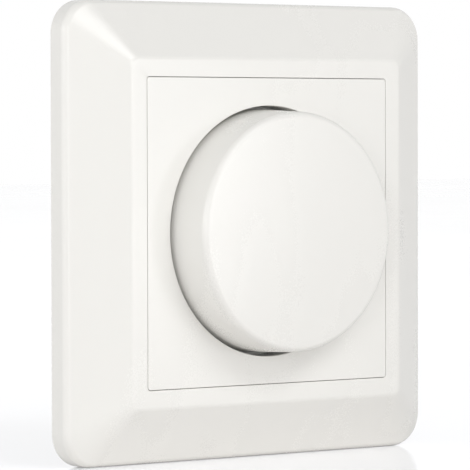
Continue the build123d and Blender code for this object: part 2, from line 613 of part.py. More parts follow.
def circuit_board():
    """Board notched round the columns, with a hole for each leg."""
    width = HOUSING_INNER - 2 * BOARD_GAP
    board = prism(width, HOUSING_INNER_CORNER - BOARD_GAP, BOARD_REAR, BOARD_FRONT)
    notch = COLUMN_DIAMETER / 2 + BOARD_GAP / 2
    cuts = [cylinder(notch, BOARD_REAR, BOARD_FRONT, x, y) for x, y in COLUMN_PLACES]
    for x, y, leg in board_legs():
        hole = leg + 2 * LEG_HOLE_GAP
        cuts.append(box(hole, hole, BOARD_REAR, BOARD_FRONT, x, y))
    return board - cuts


def triac():
    """Power switch flat on its pad behind the mounting plate, with three legs bent to the board."""
    high = -PAD_THICKNESS
    body_x = TRIAC_RIGHT - TRIAC_BODY_LENGTH / 2
    device = box(TRIAC_LENGTH, TRIAC_WIDTH, TAB_LOW, high, TRIAC_SHIFT, TRIAC_Y)
    device += box(TRIAC_BODY_LENGTH, TRIAC_WIDTH, high - TRIAC_BODY_THICKNESS, high, body_x, TRIAC_Y)
    device -= cylinder(TRIAC_HOLE / 2, TAB_LOW, high, TRIAC_HOLE_X, TRIAC_Y)
    level = high - TRIAC_LEG_LEVEL
    for y in TRIAC_LEG_YS:
        arm = box(TRIAC_LEG_REACH + OVERLAP, LEG, level - LEG, level)
        device += Pos(TRIAC_RIGHT + (TRIAC_LEG_REACH - OVERLAP) / 2, y, 0) * arm
        device += box(LEG, LEG, LEG_END, level, TRIAC_LEG_X, y)
    return device


def insulating_pad():
    """Thin pad between the triac and the mounting plate."""
    pad = box(TRIAC_LENGTH, TRIAC_WIDTH, -PAD_THICKNESS, 0, TRIAC_SHIFT, TRIAC_Y)
    return pad - cylinder(TRIAC_HOLE / 2, -PAD_THICKNESS, 0, TRIAC_HOLE_X, TRIAC_Y)


def triac_screw():
    """Screw from behind through the triac's tab into the mounting plate."""
    screw = slotted_screw(PLATE_THICKNESS - TAB_LOW)
    return Pos(TRIAC_HOLE_X, TRIAC_Y, TAB_LOW) * Rot(180, 0, 0) * screw


def choke_core():
    """Ring core of the interference choke."""
    high = BOARD_REAR - CHOKE_WIRE - FIT
    low = high - CHOKE_HEIGHT
    return Pos(*CHOKE_PLACE) * (cylinder(CHOKE_OUTER / 2, low, high) - cylinder(CHOKE_INNER / 2, low, high))


def choke_winding():
    """Turns of flat wire around the core."""
    high = BOARD_REAR
    low = high - CHOKE_HEIGHT - 2 * (CHOKE_WIRE + FIT)
    middle = (CHOKE_OUTER + CHOKE_INNER) / 4
    length = (CHOKE_OUTER - CHOKE_INNER) / 2 + 2 * FIT
    loop = box(length + 2 * CHOKE_WIRE, CHOKE_WIRE, low, high, middle)
    loop -= box(length, CHOKE_WIRE, low + CHOKE_WIRE, high - CHOKE_WIRE, middle)
    return Part() + [Pos(*CHOKE_PLACE) * turn * loop for turn in around(CHOKE_TURNS)]


def leg_pair(middle, pitch):
    """Places of two legs about a middle."""
    return [middle - pitch / 2, middle + pitch / 2]


def film_capacitor():
    """Box capacitor behind the board."""
    width, height, depth = FILM_SIZE
    body = box(width, height, BOARD_REAR - depth, BOARD_REAR, *FILM_PLACE)
    body = fillet(body.edges().filter_by(Axis.Z), COMPONENT_ROUND)
    for y in leg_pair(FILM_PLACE[1], FILM_LEG_PITCH):
        body += box(LEG, LEG, BOARD_REAR, BOARD_FRONT + LEG_TAIL, FILM_PLACE[0], y)
    return body


def timing_capacitor():
    """Small capacitor in front of the board."""
    width, height, depth = TIMING_SIZE
    body = box(width, height, BOARD_FRONT, BOARD_FRONT + depth, *TIMING_PLACE)
    body = fillet(body.edges().filter_by(Axis.Z), COMPONENT_ROUND)
    for x in leg_pair(TIMING_PLACE[0], TIMING_LEG_PITCH):
        body += box(LEG, LEG, LEG_END, BOARD_FRONT, x, TIMING_PLACE[1])
    return body


def axial_legs(middle, length, reach):
    """Places of the legs of a component that lies along Y."""
    return leg_pair(middle, length + 2 * reach - LEG)


def axial_component(radius, length, reach, x, y):
    """Round component that lies along Y in front of the board, on two bent legs."""
    level = BOARD_FRONT + AXIAL_STANDOFF + radius
    body = Pos(x, y, level) * Rot(90, 0, 0) * Cylinder(radius, length)
    body += Pos(x, y, level) * Box(LEG, length + 2 * reach, LEG)
    for leg_y in axial_legs(y, length, reach):
        body += box(LEG, LEG, LEG_END, level + LEG / 2, x, leg_y)
    return body


def fuse():
    """Glass fuse with a cap on each end."""
    x, y = FUSE_PLACE
    level = BOARD_FRONT + AXIAL_STANDOFF + FUSE_CAP_DIAMETER / 2
    lift = (FUSE_CAP_DIAMETER - FUSE_DIAMETER) / 2
    body = axial_component(FUSE_DIAMETER / 2 + lift, FUSE_LENGTH, FUSE_REACH, x, y)
    waist = Cylinder(FUSE_CAP_DIAMETER / 2, FUSE_LENGTH - 2 * FUSE_CAP_LENGTH)
    waist -= Cylinder(FUSE_DIAMETER / 2, FUSE_LENGTH - 2 * FUSE_CAP_LENGTH)
    return body - Pos(x, y, level) * Rot(90, 0, 0) * waist


def resistors():
    """Row of resistors."""
    row = [
        axial_component(RESISTOR_DIAMETER / 2, RESISTOR_LENGTH, RESISTOR_REACH, x, RESISTOR_PLACE[1])
        for x in RESISTOR_XS
    ]
    return Part() + row


def terminal_block():
    """Moulding with a pocket for each cage, a wire entry below and a screw hole behind."""
    block = box(TERMINAL_WIDTH, TERMINAL_DEPTH, TERMINAL_LOW, BOARD_REAR, y=TERMINAL_Y)
    entry_high = CAGE_HIGH - CAGE_WALL
    for x in POLE_XS:
        pocket_width = CAGE_WIDTH + 2 * FIT
        block -= box(pocket_width, CAGE_DEPTH + 2 * FIT, CAGE_LOW - FIT, BOARD_REAR, x, CAGE_Y)
        block -= box(ENTRY_WIDTH, 2 * CAGE_INSET, entry_high - ENTRY_WIDTH, entry_high, x, TERMINAL_BOTTOM)
        block -= cylinder(CLAMP_SCREW_HEAD / 2 + SLIDE, TERMINAL_LOW, CAGE_LOW, x, CAGE_Y)
    return block


def terminal_cages():
    """Brass cages that clamp the wires, each with a pin through the board."""
    thread_high = CAGE_LOW + CAGE_THREAD
    cage = box(CAGE_WIDTH, CAGE_DEPTH, CAGE_LOW, CAGE_HIGH)
    cage -= box(CAGE_WIDTH - 2 * CAGE_WALL, CAGE_DEPTH, thread_high, CAGE_HIGH - CAGE_WALL)
    cage -= cylinder(CLAMP_SCREW / 2 + FIT, CAGE_LOW, thread_high)
    cage += box(PIN_WIDTH, PIN_WIDTH, CAGE_HIGH, BOARD_FRONT + LEG_TAIL)
    return Part() + [Pos(x, CAGE_Y, 0) * cage for x in POLE_XS]


def terminal_screws():
    """Slotted screws that press the wires in the cages."""
    head_high = CAGE_LOW - CLAMP_SCREW_GAP
    head_low = head_high - CLAMP_SCREW_HEAD_HEIGHT
    screw = cylinder(CLAMP_SCREW_HEAD / 2, head_low, head_high)
    screw += cylinder(CLAMP_SCREW / 2, head_high, head_high + CLAMP_SCREW_LENGTH)
    screw -= box(CLAMP_SCREW_HEAD, SCREW_SLOT, head_low, head_low + SCREW_SLOT_DEPTH)
    return Part() + [Pos(x, CAGE_Y, 0) * screw for x in POLE_XS]


PIECES = [
    cover_frame,
    centre_plate,
    knob,
    knob_clamp_ring,
    lock_washer,
    bushing_nut,
    threaded_bushing,
    control_shaft,
    wiper_rotor,
    wiper_spring,
    resistor_wafer,
    potentiometer_case,
    switch_plunger,
    contact_bridge,
    contact_pins,
    return_spring,
    mounting_plate,
    rear_housing,
    housing_screws,
    circuit_board,
    triac,
    insulating_pad,
    triac_screw,
    choke_core,
    choke_winding,
    film_capacitor,
    timing_capacitor,
    fuse,
    resistors,
    terminal_block,
    terminal_cages,
    terminal_screws,
]

os.makedirs("parts", exist_ok=True)
for piece in PIECES:
    export_step(Rot(90, 0, 0) * piece(), f"parts/{piece.__name__}.step")
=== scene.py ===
from collections import namedtuple
import math

import bmesh
import bpy
from bpy.props import FloatProperty, FloatVectorProperty, PointerProperty
from mathutils import Matrix, Vector


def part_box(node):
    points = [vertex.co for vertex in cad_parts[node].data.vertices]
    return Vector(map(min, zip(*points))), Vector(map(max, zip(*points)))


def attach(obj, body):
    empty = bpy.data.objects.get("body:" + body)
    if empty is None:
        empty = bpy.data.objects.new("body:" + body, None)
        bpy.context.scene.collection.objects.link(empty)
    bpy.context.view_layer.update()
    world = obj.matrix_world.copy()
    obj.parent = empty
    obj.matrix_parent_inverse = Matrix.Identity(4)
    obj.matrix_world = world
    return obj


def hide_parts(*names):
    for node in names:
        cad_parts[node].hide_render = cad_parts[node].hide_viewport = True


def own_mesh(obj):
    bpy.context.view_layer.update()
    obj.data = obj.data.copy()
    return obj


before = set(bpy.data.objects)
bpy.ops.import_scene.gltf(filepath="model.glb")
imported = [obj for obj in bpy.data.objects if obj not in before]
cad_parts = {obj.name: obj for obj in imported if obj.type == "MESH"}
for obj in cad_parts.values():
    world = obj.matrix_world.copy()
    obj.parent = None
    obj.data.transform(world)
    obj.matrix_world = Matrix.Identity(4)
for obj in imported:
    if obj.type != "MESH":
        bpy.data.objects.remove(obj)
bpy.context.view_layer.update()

bl_info = {
    "name": "Rotary push dimmer",
    "version": (1, 0, 0),
    "blender": (4, 5, 0),
    "location": "3D View > Sidebar > Dimmer",
    "description": "Models the mouldings of a flush wall dimmer and gives all its pieces their finish",
    "category": "Object",
}

# The wall plane is y = 0 and the room is on the -Y side. A depth is measured from the wall plane into the
# room, so it is -y, and it is negative behind the wall plane. Lengths are metres.

TINY = 1e-6           # points that are nearer than this are one point
NEAR = 10 * TINY      # how far a point may lie off the outline that it belongs to
APART = 0.0003        # how far loops at one depth stand apart while they are bridged
CORNER_STEPS = 15     # segments in a rounded corner of the frame
ROUND_STEPS = 63      # segments in a quarter of the knob and its well
EDGE_STEPS = 8        # segments across a rounded edge
ROD_STEPS = 64        # segments around a peg
WIRE_STEPS = 24       # segments around a wire
TURN_STEPS = 84       # segments in a turn of a spring
EDGE_BAND = 4         # flat band beside a rounded edge, in radii of the edge
BITE = 1 / 4          # how far a rib or peg reaches into what it joins, as a share of a thickness
KNOB_RIBS = 6
DOME_RINGS = (0.02, 0.2, 0.4, 0.6, 0.75, 0.86)  # rings on the knob's dome, as shares of its radius
QUARTER = math.pi / 2
SHARP_ANGLE = math.radians(20)
LIGHT_RANGE = 1.3     # dimmer to the lamps
FLOOR_WIDTH = 6
NEAREST_SEEN = 0.01   # what is nearer to the camera is cut off
WHITE = (1, 1, 1, 1)
BLACK = (0, 0, 0, 1)


def length(name, description, default):
    """Property that holds a length."""
    return FloatProperty(
        name=name, description=description, default=default, min=0, unit="LENGTH", precision=5
    )


def colour(name, description, default):
    """Property that holds a colour."""
    return FloatVectorProperty(
        name=name, description=description, default=default, min=0, max=1, size=3, subtype="COLOR"
    )


def power(name, description, default):
    """Property that holds the power of a lamp."""
    return FloatProperty(name=name, description=description, default=default, min=0, unit="POWER")


def node_width(node):
    """Width of a CAD node that lies evenly about the knob's axis."""
    low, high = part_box(node)
    return 2 * max(high.x, -low.x)


def node_front(node):
    """Depth of the foremost point of a CAD node."""
    return -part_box(node)[0].y


def node_back(node):
    """Depth of the rearmost point of a CAD node."""
    return -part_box(node)[1].y


class FrameSizes(bpy.types.PropertyGroup):
    """Sizes of the cover frame."""

    width: length("Width", "Outside of the square frame", node_width("cover_frame"))
    depth: length("Depth", "Wall plane to the flat rim", node_front("cover_frame"))
    corner: length("Corner", "Radius of the outer corners", 0.006)
    side: length("Side", "Height of the upright side", 0.004)
    wall: length("Wall", "Thickness of the moulding", 0.002)
    foot_round: length("Foot round", "Radius between the side and the slope", 0.0018)
    rim_width: length("Rim width", "Flat rim around the opening", 0.0033)
    rim_corner: length("Rim corner", "Radius of the corners of the rim", 0.0014)
    rim_round: length("Rim round", "Radius between the slope and the rim", 0.0016)
    opening_round: length("Opening round", "Radius of the edge of the opening", 0.0001)
    seam: length("Seam", "Gap between the rim and the centre plate", 0.0001)
    collar_wall: length("Collar wall", "Wall around the opening, behind the rim", 0.0016)
    ledge: length("Ledge", "Thickness of the ledge under the centre plate", 0.0016)
    ledge_gap: length("Ledge gap", "Room between the ledge and the well", 0.0006)
    rib: length("Rib", "Thickness of the ribs behind the slope", 0.0014)
    rib_offset: length("Rib offset", "Middle of a side to its ribs", 0.017)
    rib_gap: length("Rib gap", "Room between the ribs and the mounting plate", 0.0002)


class PlateSizes(bpy.types.PropertyGroup):
    """Sizes of the centre plate."""

    width: length("Width", "Outside of the square plate", node_width("centre_plate"))
    corner: length("Corner", "Radius of the corners", 0.0005)
    thickness: length("Thickness", "Thickness of the plate around the well", 0.0018)
    edge_round: length("Edge round", "Radius of the plate's edge", 0.0001)
    skirt_height: length("Skirt height", "Face of the plate to the edge on the ledge", 0.0036)
    skirt_wall: length("Skirt wall", "Thickness of the skirt", 0.0015)
    well_gap: length("Well gap", "Room around the knob in its well", 0.00075)
    well_wall: length("Well wall", "Thickness of the wall of the well", 0.0016)
    well_floor: length("Well floor", "Thickness of the floor of the well", 0.0016)
    well_round: length("Well round", "Radius of the edge of the well", 0.0001)
    hole: length("Hole", "Hole for the bushing", 0.01)
    boss: length("Boss", "Foot of the well on the mounting plate", 0.02)
    rib: length("Rib", "Thickness of the corner ribs", 0.0012)
    peg: length("Peg", "Thickness of the pegs in the mounting plate", 0.002)
    peg_spacing: length("Peg spacing", "Distance between the pegs", 0.0152)


class KnobSizes(bpy.types.PropertyGroup):
    """Sizes of the knob."""

    width: length("Diameter", "Outside of the knob at the face of the plate", 0.0436)
    draft: FloatProperty(
        name="Draft", description="Lean of the knob's side", default=math.radians(2.7), subtype="ANGLE"
    )
    crown: length("Crown", "Height of the domed front", 0.00045)
    edge_round: length("Edge round", "Radius of the front edge", 0.0011)
    wall: length("Wall", "Thickness of the outer wall", 0.0018)
    top: length("Top", "Thickness at the front", 0.0019)
    hub: length("Hub", "Outside of the hub", 0.011)
    hub_low: length("Hub end", "Wall plane to the end of the hub", 0.01)
    groove: length("Groove", "Depth of the groove for the clamp ring", 0.0005)
    slit: length("Slit", "Width of the slit in the hub", 0.0008)
    slit_length: length("Slit length", "Length of the slit in the hub", 0.004)
    bore: length("Bore", "Thickness of the shaft", 0.006)
    shaft_flat: length("Shaft flat", "Axis to the flat of the bore", 0.00155)
    rib: length("Rib", "Thickness of the ribs between hub and wall", 0.0012)
    fit: length("Fit", "Room around snug pieces", 0.00005)


class SpringSizes(bpy.types.PropertyGroup):
    """Sizes of the return spring."""

    wire: length("Wire", "Thickness of the wire", 0.0006)
    turns: FloatProperty(name="Turns", description="Number of turns", default=2.25, min=1)
    travel: length("Travel", "How far the spring is pressed together", 0.0015)


class FinishColours(bpy.types.PropertyGroup):
    """Colours of the finishes."""

    cover: colour("Cover", "Satin moulding that faces the room", (0.852, 0.843, 0.812))
    grey: colour("Grey moulding", "Housing and terminal block", (0.40, 0.41, 0.42))
    black: colour("Black moulding", "Potentiometer and triac", (0.028, 0.028, 0.03))
    zinc: colour("Zinc", "Plated steel", (0.62, 0.63, 0.65))
    spring: colour("Spring steel", "Springs and the clamp ring", (0.46, 0.46, 0.47))
    shaft: colour("Shaft", "Turned light alloy", (0.72, 0.72, 0.73))
    brass: colour("Brass", "Bushing, contacts and cages", (0.74, 0.54, 0.24))
    copper: colour("Copper wire", "Enamelled winding", (0.55, 0.2, 0.07))
    laminate: colour("Laminate", "Circuit board and wafer", (0.34, 0.2, 0.07))
    pad: colour("Pad", "Silicone under the triac", (0.5, 0.52, 0.55))
    ferrite: colour("Ferrite", "Ring core", (0.05, 0.05, 0.055))
    resin: colour("Resin", "Cases of the capacitors", (0.6, 0.34, 0.05))
    glass: colour("Glass", "Tube of the fuse", (0.78, 0.82, 0.8))
    lacquer: colour("Lacquer", "Bodies of the resistors", (0.55, 0.4, 0.24))


class StageSettings(bpy.types.PropertyGroup):
    """Camera, light and floor."""

    camera_place: FloatVectorProperty(
        name="Camera place",
        description="Where the camera stands",
        default=(-0.4075, -0.5131, 0.0173),
        subtype="TRANSLATION",
        unit="LENGTH",
    )
    camera_heading: FloatProperty(
        name="Camera heading",
        description="Turn to the right of the wall's normal",
        default=math.radians(38.455),
        subtype="ANGLE",
    )
    camera_pitch: FloatProperty(
        name="Camera pitch", description="Tilt above the horizon", default=-0.0278, subtype="ANGLE"
    )
    camera_roll: FloatProperty(
        name="Camera roll", description="Turn about the line of sight", default=-0.0024, subtype="ANGLE"
    )
    lens: FloatProperty(name="Lens", description="Focal length in millimetres", default=275.58, min=1)
    ambient: FloatProperty(name="Ambient", description="Light from all around", default=0.25, min=0)
    key: power("Key light", "Power of the small panel that the knob's face mirrors", 2.7)
    front: power("Front light", "Power of the panel in front", 2.7)
    upper: power("Upper light", "Power of the wide panel above the front", 5.7)
    half_left: power("Half left light", "Power of the panel between the front and the left", 3.65)
    left: power("Left light", "Power of the panel on the left", 2.9)
    rear: power("Rear light", "Power of the large panel behind on the left", 4.6)
    floor: colour("Floor", "Colour of the floor where it is seen", (0.87, 0.885, 0.94))
    bounce: colour("Bounce", "Colour of the light that the floor throws back", (0.91, 0.895, 0.885))
    floor_lift: FloatProperty(
        name="Floor lift", description="White added where the floor is seen", default=0.2, min=0
    )


# The sockets of a Mix node that mixes colours, which share their names with its other sockets
MIX_FACTOR, MIX_FIRST, MIX_SECOND, MIX_RESULT = 0, 6, 7, 2


class Signal:
    """Value of a shader socket, for use in Python expressions."""

    def __init__(self, nodes, socket):
        self.nodes = nodes
        self.socket = socket

    def reckon(self, operation, first, second):
        """Math node on two values."""
        return self.nodes.add("ShaderNodeMath", {"operation": operation}, {0: first, 1: second})

    def __add__(self, other):
        return self.reckon("ADD", self, other)

    def __sub__(self, other):
        return self.reckon("SUBTRACT", self, other)

    def __rsub__(self, other):
        return self.reckon("SUBTRACT", other, self)

    def __mul__(self, other):
        return self.reckon("MULTIPLY", self, other)

    def __gt__(self, other):
        return self.reckon("GREATER_THAN", self, other)

    def __lt__(self, other):
        return self.reckon("LESS_THAN", self, other)

    def __or__(self, other):
        return self.reckon("MAXIMUM", self, other)

    def __abs__(self):
        return self.reckon("ABSOLUTE", self, 0.0)

    __radd__ = __add__
    __rmul__ = __mul__
    __ror__ = __or__

    def spread(self, low, high):
        """Maps a value from 0 to 1 onto another range."""
        return self * (high - low) + low


class Nodes:
    """The shader nodes of a material or the world."""

    def __init__(self, owner, shader):
        owner.use_nodes = True
        self.tree = owner.node_tree
        self.shader = self.tree.nodes[shader]

    def add(self, kind, settings, inputs, output=0):
        """Adds a node with its settings and with the values or links of its sockets."""
        made = self.tree.nodes.new(kind)
        for name, value in settings.items():
            setattr(made, name, value)
        for socket, value in inputs.items():
            if isinstance(value, Signal):
                self.tree.links.new(value.socket, made.inputs[socket])
            else:
                made.inputs[socket].default_value = value
        return Signal(self, made.outputs[output])

    def feed(self, socket, signal):
        """Lets a signal drive a socket of the shader."""
        self.tree.links.new(signal.socket, self.shader.inputs[socket])

    def seen(self):
        """One where the camera looks, straight, in a reflection or through glass, and else nought."""
        rays = ("Is Camera Ray", "Is Glossy Ray", "Is Transmission Ray")
        camera, glossy, glass = [self.add("ShaderNodeLightPath", {}, {}, ray) for ray in rays]
        return camera | glossy | glass


class Finish(Nodes):
    """A material that is built up from nodes."""

    def __init__(self, name, constants):
        self.material = bpy.data.materials.new(name)
        super().__init__(self.material, "Principled BSDF")
        for socket, value in constants.items():
            self.shader.inputs[socket].default_value = value

    def place(self, stretch=(1, 1, 1)):
        """Place on the piece, in the shared frame, stretched along its axes."""
        here = self.add("ShaderNodeTexCoord", {}, {}, "Object")
        return self.add("ShaderNodeMapping", {}, {"Vector": here, "Scale": stretch})

    def height(self):
        """Height of a place on the piece."""
        here = self.add("ShaderNodeTexCoord", {}, {}, "Object")
        return self.add("ShaderNodeSeparateXYZ", {}, {"Vector": here}, "Z")

    def noise(self, size, detail=2.0, stretch=(1, 1, 1)):
        """Cloudy value from 0 to 1 with features of a size."""
        inputs = {"Vector": self.place(stretch), "Scale": 1 / size, "Detail": detail}
        return self.add("ShaderNodeTexNoise", {}, inputs, "Fac")

    def cells(self, size):
        """Distance to the middle of a cell, in a pattern of cells of a size."""
        return self.add("ShaderNodeTexVoronoi", {}, {"Vector": self.place(), "Scale": 1 / size}, "Distance")

    def blend(self, factor, first, second):
        """Mixes two colours."""
        inputs = {MIX_FACTOR: factor, MIX_FIRST: first, MIX_SECOND: second}
        return self.add("ShaderNodeMix", {"data_type": "RGBA"}, inputs, MIX_RESULT)

    def tones(self, factor, tint, low, high):
        """Lets a colour go from a share of itself to another."""
        return self.blend(factor, shade(tint, low), shade(tint, high))

    def relief(self, height, distance):
        """Fine relief from a height between 0 and 1."""
        inputs = {"Strength": 1.0, "Distance": distance, "Height": height}
        self.feed("Normal", self.add("ShaderNodeBump", {}, inputs))


def shade(tint, factor=1.0):
    """Darker or lighter colour with full alpha."""
    return (*(min(1.0, part * factor) for part in tint), 1.0)


def moulding(name, tint, gloss, grain, depth):
    """Moulded plastic with a fine spark-eroded grain and faint flow marks."""
    finish = Finish(name, {"IOR": 1.5})
    flow = finish.noise(size=0.03, detail=3.0, stretch=(1, 1, 0.4))
    speck = finish.noise(size=grain)
    finish.feed("Base Color", finish.tones(flow, tint, low=0.985, high=1.015))
    finish.feed("Roughness", flow.spread(gloss - 0.04, gloss + 0.04) + speck.spread(-0.005, 0.005))
    finish.relief(speck, depth)
    return finish.material


def plated_steel(name, tint):
    """Plated sheet steel with rolling streaks and a mottled plating."""
    finish = Finish(name, {"Metallic": 1.0})
    streaks = finish.noise(size=0.0004, detail=3.0, stretch=(1, 1, 0.03))
    mottle = finish.noise(size=0.004, detail=3.0)
    tone = streaks * 0.4 + mottle * 0.6
    finish.feed("Base Color", finish.tones(tone, tint, low=0.86, high=1.1))
    finish.feed("Roughness", tone.spread(low=0.26, high=0.44))
    finish.relief(streaks, distance=0.000004)
    return finish.material


def drawn_metal(name, tint, rough, stretch, size=0.0005):
    """Metal with drawing or turning marks along one direction and a faint tarnish."""
    finish = Finish(name, {"Metallic": 1.0})
    marks = finish.noise(size, stretch=stretch)
    tarnish = finish.noise(size=0.003, detail=3.0)
    finish.feed("Base Color", finish.tones(tarnish, tint, low=0.8, high=1.08))
    finish.feed("Roughness", marks.spread(rough - 0.08, rough + 0.08) + tarnish * 0.06)
    finish.relief(marks, distance=0.000005)
    return finish.material


def enamelled_wire(name, tint):
    """Copper wire under a coat of clear enamel."""
    finish = Finish(name, {"Metallic": 0.9, "Coat Weight": 0.6, "Coat Roughness": 0.12})
    cloud = finish.noise(size=0.0015, detail=3.0)
    finish.feed("Base Color", finish.tones(cloud, tint, low=0.8, high=1.15))
    finish.feed("Roughness", cloud.spread(low=0.24, high=0.38))
    return finish.material


def laminate(name, tint):
    """Brown laminate with its paper fibres and cloudy resin."""
    finish = Finish(name, {"IOR": 1.5})
    fibres = finish.noise(size=0.0008, detail=4.0, stretch=(0.15, 1, 1))
    cloud = finish.noise(size=0.006)
    tone = fibres * 0.6 + cloud * 0.4
    finish.feed("Base Color", finish.tones(tone, tint, low=0.75, high=1.2))
    finish.feed("Roughness", fibres.spread(low=0.42, high=0.6))
    finish.relief(fibres, distance=0.00001)
    return finish.material


def silicone(name, tint):
    """Grey pad with the weave of its glass cloth."""
    finish = Finish(name, {"IOR": 1.42})
    weave = finish.cells(size=0.0004)
    finish.feed("Base Color", finish.tones(weave, tint, low=1.1, high=0.8))
    finish.feed("Roughness", weave.spread(low=0.6, high=0.8))
    finish.relief(weave, distance=0.00001)
    return finish.material


def sintered(name, tint):
    """Pressed and fired ferrite with a grainy surface."""
    finish = Finish(name, {"IOR": 1.7})
    grains = finish.cells(size=0.00025)
    cloud = finish.noise(size=0.003, detail=3.0)
    finish.feed("Base Color", finish.tones(cloud, tint, low=0.7, high=1.5))
    finish.feed("Roughness", grains.spread(low=0.55, high=0.75))
    finish.relief(grains, distance=0.00002)
    return finish.material


def dipped_resin(name, tint):
    """Glossy resin with a slight orange-peel."""
    finish = Finish(name, {"IOR": 1.55, "Coat Weight": 0.5, "Coat Roughness": 0.1})
    peel = finish.noise(size=0.0012)
    finish.feed("Base Color", finish.tones(peel, tint, low=0.9, high=1.08))
    finish.feed("Roughness", peel.spread(low=0.22, high=0.34))
    finish.relief(peel, distance=0.00003)
    return finish.material


def node_middle(node):
    """Height of the middle of a CAD node."""
    low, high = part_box(node)
    return (low.z + high.z) / 2


def fuse_glass(name, tint, metal):
    """Clear tube between two metal caps, told apart by the height above the fuse's middle."""
    tube_end = 0.0028
    finish = Finish(name, {"IOR": 1.5})
    cap = abs(finish.height() - node_middle("fuse")) > tube_end
    marks = finish.noise(size=0.0006)
    finish.feed("Base Color", finish.blend(cap, shade(tint), shade(metal)))
    finish.feed("Metallic", cap)
    finish.feed("Roughness", marks.spread(low=0.06, high=0.14) + cap * 0.2)
    finish.feed("Alpha", cap.spread(low=0.45, high=1.0))
    return finish.material


def banded_lacquer(name, tint, metal):
    """Lacquered bodies with plain dark bands, on tinned legs."""
    body_end = 0.003
    bands_end = 0.0021
    band_pitch = 0.0006
    band_start = 0.00038
    finish = Finish(name, {"IOR": 1.5})
    height = abs(finish.height() - node_middle("resistors"))
    leg = height > body_end
    rings = finish.add("ShaderNodeMath", {"operation": "PINGPONG"}, {0: height, 1: band_pitch})
    band = (rings > band_start) * (height < bands_end)
    cloud = finish.noise(size=0.001)
    plain = finish.tones(cloud, tint, low=0.92, high=1.08)
    banded = finish.blend(band, plain, shade(tint, 0.22))
    finish.feed("Base Color", finish.blend(leg, banded, shade(metal)))
    finish.feed("Metallic", leg)
    finish.feed("Roughness", cloud.spread(low=0.26, high=0.36))
    return finish.material


Loop = namedtuple("Loop", "width corner depth")


def circle(diameter, depth):
    """Round loop at a depth, as a square whose corners meet."""
    return Loop(diameter, diameter / 2, depth)


def begin(name):
    """Starts an empty piece, alone in edit mode."""
    bpy.ops.object.select_all(action="DESELECT")
    bpy.ops.object.add(type="MESH")
    bpy.context.object.name = name
    bpy.ops.object.mode_set(mode="EDIT")
    bpy.ops.mesh.select_mode(type="VERT")


def add_loop(loop, steps):
    """Adds the edges of a rounded square, or of a circle with as many points, facing the room."""
    place = (0, -loop.depth, 0)
    if loop.corner == loop.width / 2:
        points = 4 * (steps + 1)
        half_step = math.pi / points
        bpy.ops.mesh.primitive_circle_add(
            vertices=points, radius=loop.corner, location=place, rotation=(QUARTER, half_step, 0)
        )
    else:
        bpy.ops.mesh.primitive_plane_add(size=loop.width, location=place, rotation=(QUARTER, 0, 0))
        bpy.ops.mesh.bevel(affect="VERTICES", offset=loop.corner, segments=steps)
        bpy.ops.mesh.delete(type="ONLY_FACE")


def on_loop(loop, place):
    """Whether a place lies on the outline of a loop."""
    across = abs(place.x) - loop.width / 2 + loop.corner
    up = abs(place.z) - loop.width / 2 + loop.corner
    gap = math.hypot(max(across, 0), max(up, 0)) + min(max(across, up), 0) - loop.corner
    return abs(gap) < NEAR and abs(place.y + loop.depth) < TINY


def select_loops(*loops):
    """Selects the edges of some loops, and nothing else."""
    mesh = bmesh.from_edit_mesh(bpy.context.edit_object.data)
    for vert in mesh.verts:
        vert.select = any(on_loop(loop, vert.co) for loop in loops)
    mesh.select_flush(True)
    mesh.select_flush(False)
    bmesh.update_edit_mesh(bpy.context.edit_object.data)
    if not any(edge.select for edge in mesh.edges):
        raise RuntimeError(f"no edges at {loops}")


def bridge(first, second):
    """Spans a surface between two loops. Loops at one depth are held apart meanwhile."""
    shift = APART if first.depth == second.depth else 0
    select_loops(second)
    bpy.ops.transform.translate(value=(0, -shift, 0))
    moved = second._replace(depth=second.depth + shift)
    select_loops(first, moved)
    bpy.ops.mesh.bridge_edge_loops()
    select_loops(moved)
    bpy.ops.transform.translate(value=(0, shift, 0))


def skin(loops, steps, closed):
    """Spans a surface from loop to loop, and back to the first or capped at both ends."""
    for loop in loops:
        add_loop(loop, steps)
    for first, second in zip(loops, loops[1:]):
        bridge(first, second)
    if closed:
        bridge(loops[-1], loops[0])
    else:
        for loop in (loops[0], loops[-1]):
            select_loops(loop)
            bpy.ops.mesh.edge_face_add()
    bpy.ops.mesh.select_all(action="SELECT")
    bpy.ops.mesh.normals_make_consistent(inside=False)


def round_edge(loop, radius, turn):
    """Rounds the edge along a loop, where the surface turns by an angle."""
    select_loops(loop)
    bpy.ops.mesh.bevel(offset=radius * math.tan(turn / 2), segments=EDGE_STEPS, profile=0.5)


def block(width, height, low, high, x=0.0, z=0.0, turn=0.0):
    """Box between two depths, turned about the knob's axis, for joining to a piece or cutting it."""
    bpy.ops.object.select_all(action="DESELECT")
    place = Matrix.Rotation(turn, 3, "Y") @ Vector((x, -(low + high) / 2, z))
    bpy.ops.mesh.primitive_cube_add(
        size=1, location=place, rotation=(0, turn, 0), scale=(width, high - low, height)
    )
    return bpy.context.object


def rod(diameter, low, high, x):
    """Round rod between two depths, for joining to a piece or cutting it."""
    bpy.ops.object.select_all(action="DESELECT")
    bpy.ops.mesh.primitive_cylinder_add(
        vertices=ROD_STEPS,
        radius=diameter / 2,
        depth=high - low,
        location=(x, -(low + high) / 2, 0),
        rotation=(QUARTER, 0, 0),
    )
    return bpy.context.object


def pick(*pieces):
    """Selects some pieces alone, with the first one active."""
    bpy.ops.object.select_all(action="DESELECT")
    for piece in pieces:
        piece.select_set(True)
    bpy.context.view_layer.objects.active = pieces[0]


